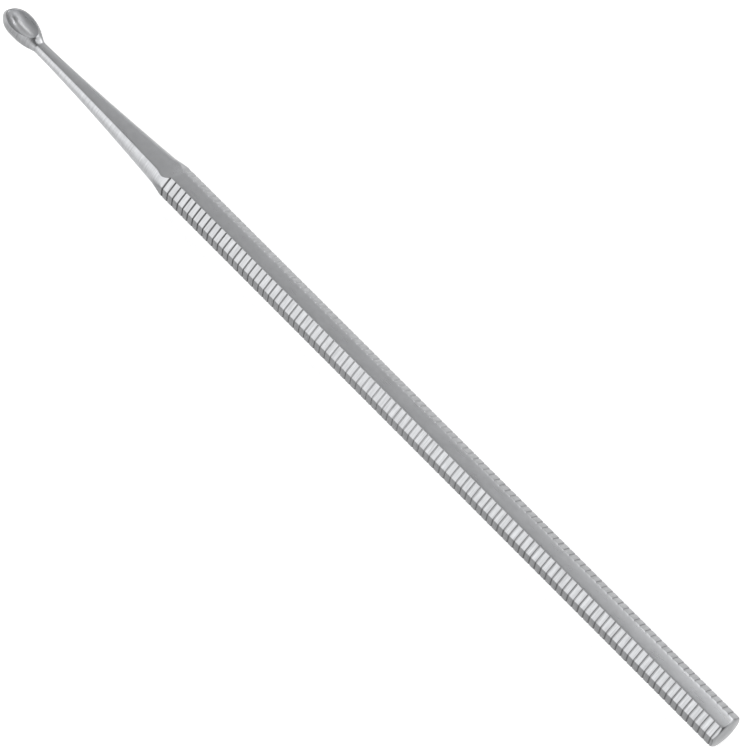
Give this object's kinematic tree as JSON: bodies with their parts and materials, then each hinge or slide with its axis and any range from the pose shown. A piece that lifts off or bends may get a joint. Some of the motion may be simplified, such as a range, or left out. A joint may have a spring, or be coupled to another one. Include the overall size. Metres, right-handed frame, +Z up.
{
  "type": "bone curette",
  "caption": "Straight bone curette: oval spoon bowl on a tapered shank, with an octagonal handle grooved across both sides for grip.",
  "frame": {"origin": "under the middle of the length, on the plane that the handle's underside rests on", "axes": "+X along the instrument from the bowl to the butt, +Z up, away from the flat that it rests on, on the side the bowl opens to"},
  "size_m": [0.1704, 0.006, 0.006],
  "materials": {
    "satin_steel": "satin-ground stainless steel, brighter on the grooved faces"
  },
  "bodies": {
    "root": {"curette": "satin_steel"}
  },
  "joints": []
}
